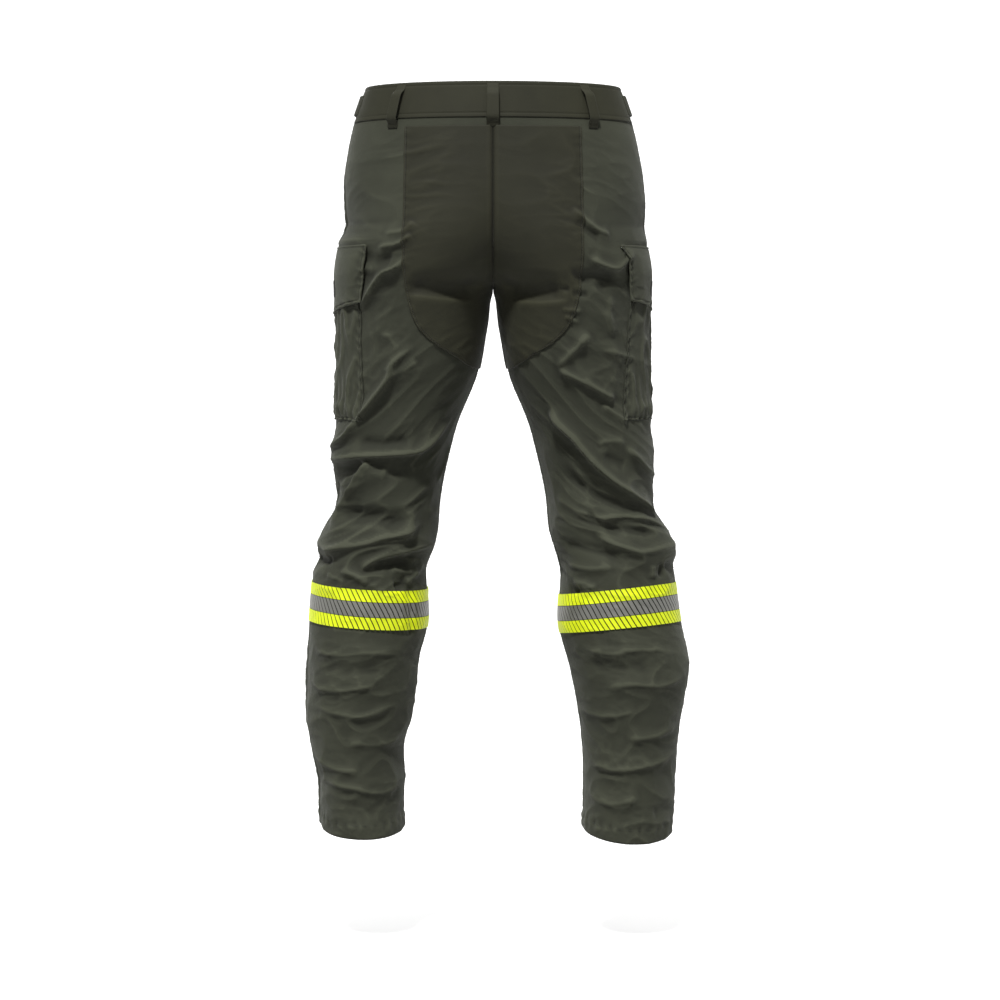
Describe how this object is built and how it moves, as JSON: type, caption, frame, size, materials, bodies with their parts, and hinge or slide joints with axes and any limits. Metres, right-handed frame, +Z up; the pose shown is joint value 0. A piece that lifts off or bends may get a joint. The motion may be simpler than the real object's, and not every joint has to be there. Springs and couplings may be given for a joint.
{
  "type": "firefighter trousers",
  "caption": "Olive fire trousers with a reinforced seat, flapped cargo pockets, padded knees, a zip fly and yellow and silver segmented bands below the knees.",
  "frame": {"origin": "middle of the waist opening at the waistband's top edge", "axes": "+Z up along the wearer's body, -Y to the wearer's front, +X to the wearer's left"},
  "size_m": [0.4992, 0.2696, 0.98],
  "materials": {
    "shell_cloth": "matt dark olive grey twill",
    "reinforcement_cloth": "matt dark olive cloth, a little smoother and browner",
    "yellow_film": "fluorescent yellow segmented trim",
    "silver_film": "silver grey segmented retroreflective trim",
    "brass_fittings": "dark antique brass",
    "hook_and_loop": "hook and loop tape",
    "zip_tape": "woven zip tape",
    "pad_foam": "closed cell foam"
  },
  "bodies": {
    "trousers": {"waistband": "reinforcement_cloth", "left_front_thigh_panel": "shell_cloth", "right_front_thigh_panel": "shell_cloth", "left_back_thigh_panel": "shell_cloth", "right_back_thigh_panel": "shell_cloth", "left_back_knee_fold": "shell_cloth", "right_back_knee_fold": "shell_cloth", "left_seat_patch": "reinforcement_cloth", "right_seat_patch": "reinforcement_cloth", "fly_guard": "reinforcement_cloth", "zip_tapes": "zip_tape", "zip_teeth": "brass_fittings", "waist_snap_stud": "brass_fittings", "left_belt_loops": "reinforcement_cloth", "right_belt_loops": "reinforcement_cloth", "back_belt_loop": "reinforcement_cloth", "left_adjuster_loop_patch": "hook_and_loop", "right_adjuster_loop_patch": "hook_and_loop", "left_hand_pocket": "reinforcement_cloth", "right_hand_pocket": "reinforcement_cloth", "left_cargo_pocket": "shell_cloth", "right_cargo_pocket": "shell_cloth", "left_pocket_loop_patch": "hook_and_loop", "right_pocket_loop_patch": "hook_and_loop", "left_knee_patch": "reinforcement_cloth", "right_knee_patch": "reinforcement_cloth", "left_knee_pad": "pad_foam", "right_knee_pad": "pad_foam"},
    "left_lower_leg": {"left_front_shin_panel": "shell_cloth", "left_back_shin_panel": "shell_cloth", "left_upper_yellow_strip": "yellow_film", "left_silver_strip": "silver_film", "left_lower_yellow_strip": "yellow_film", "left_hem_facing": "reinforcement_cloth"},
    "right_lower_leg": {"right_front_shin_panel": "shell_cloth", "right_back_shin_panel": "shell_cloth", "right_upper_yellow_strip": "yellow_film", "right_silver_strip": "silver_film", "right_lower_yellow_strip": "yellow_film", "right_hem_facing": "reinforcement_cloth"},
    "left_pocket_flap": {"left_cargo_flap": "shell_cloth", "left_flap_hook_patch": "hook_and_loop"},
    "right_pocket_flap": {"right_cargo_flap": "shell_cloth", "right_flap_hook_patch": "hook_and_loop"},
    "fly": {"fly_flap": "shell_cloth"},
    "front_tab": {"waist_tab": "reinforcement_cloth", "waist_snap_cap": "brass_fittings"},
    "slider": {"zip_slider": "brass_fittings"},
    "puller": {"zip_puller": "brass_fittings"},
    "left_side_tab": {"left_waist_adjuster": "reinforcement_cloth", "left_adjuster_hook_patch": "hook_and_loop"},
    "right_side_tab": {"right_waist_adjuster": "reinforcement_cloth", "right_adjuster_hook_patch": "hook_and_loop"}
  },
  "joints": [
    {"name": "left_knee", "type": "hinge", "parent": "trousers", "child": "left_lower_leg", "pos_m": [0.149, -0.002, -0.576], "axis": [1, 0, 0], "range_deg": [0, 60], "deforming": ["left_back_knee_fold"]},
    {"name": "right_knee", "type": "hinge", "parent": "trousers", "child": "right_lower_leg", "pos_m": [-0.149, -0.002, -0.576], "axis": [1, 0, 0], "range_deg": [0, 60], "deforming": ["right_back_knee_fold"]},
    {"name": "left_pocket_flap_hinge", "type": "hinge", "parent": "trousers", "child": "left_pocket_flap", "pos_m": [0.2015, 0, -0.2035], "axis": [0, -1, 0], "range_deg": [0, 100]},
    {"name": "right_pocket_flap_hinge", "type": "hinge", "parent": "trousers", "child": "right_pocket_flap", "pos_m": [-0.2015, 0, -0.2035], "axis": [0, 1, 0], "range_deg": [0, 100]},
    {"name": "fly_flap_hinge", "type": "hinge", "parent": "trousers", "child": "fly", "pos_m": [0.0245, -0.1255, -0.115], "axis": [0, 0, 1], "range_deg": [0, 110]},
    {"name": "waist_tab_hinge", "type": "hinge", "parent": "trousers", "child": "front_tab", "pos_m": [0.02064, -0.12078, -0.023], "axis": [0, 0, 1], "range_deg": [0, 100]},
    {"name": "zip_slide", "type": "slide", "parent": "trousers", "child": "slider", "axis": [0, 0, -1], "range_m": [0, 0.108]},
    {"name": "zip_puller_hinge", "type": "hinge", "parent": "slider", "child": "puller", "pos_m": [0, -0.1111, -0.053], "axis": [-1, 0, 0], "range_deg": [0, 75]},
    {"name": "left_side_tab_hinge", "type": "hinge", "parent": "trousers", "child": "left_side_tab", "pos_m": [0.18083, 0.02466, -0.023], "axis": [0, 0, 1], "range_deg": [0, 100]},
    {"name": "right_side_tab_hinge", "type": "hinge", "parent": "trousers", "child": "right_side_tab", "pos_m": [-0.18083, 0.02466, -0.023], "axis": [0, 0, -1], "range_deg": [0, 100]}
  ],
  "couplings": [
    {"joint": "zip_puller_hinge", "follows": "fly_flap_hinge", "ratio": 0.65}
  ]
}
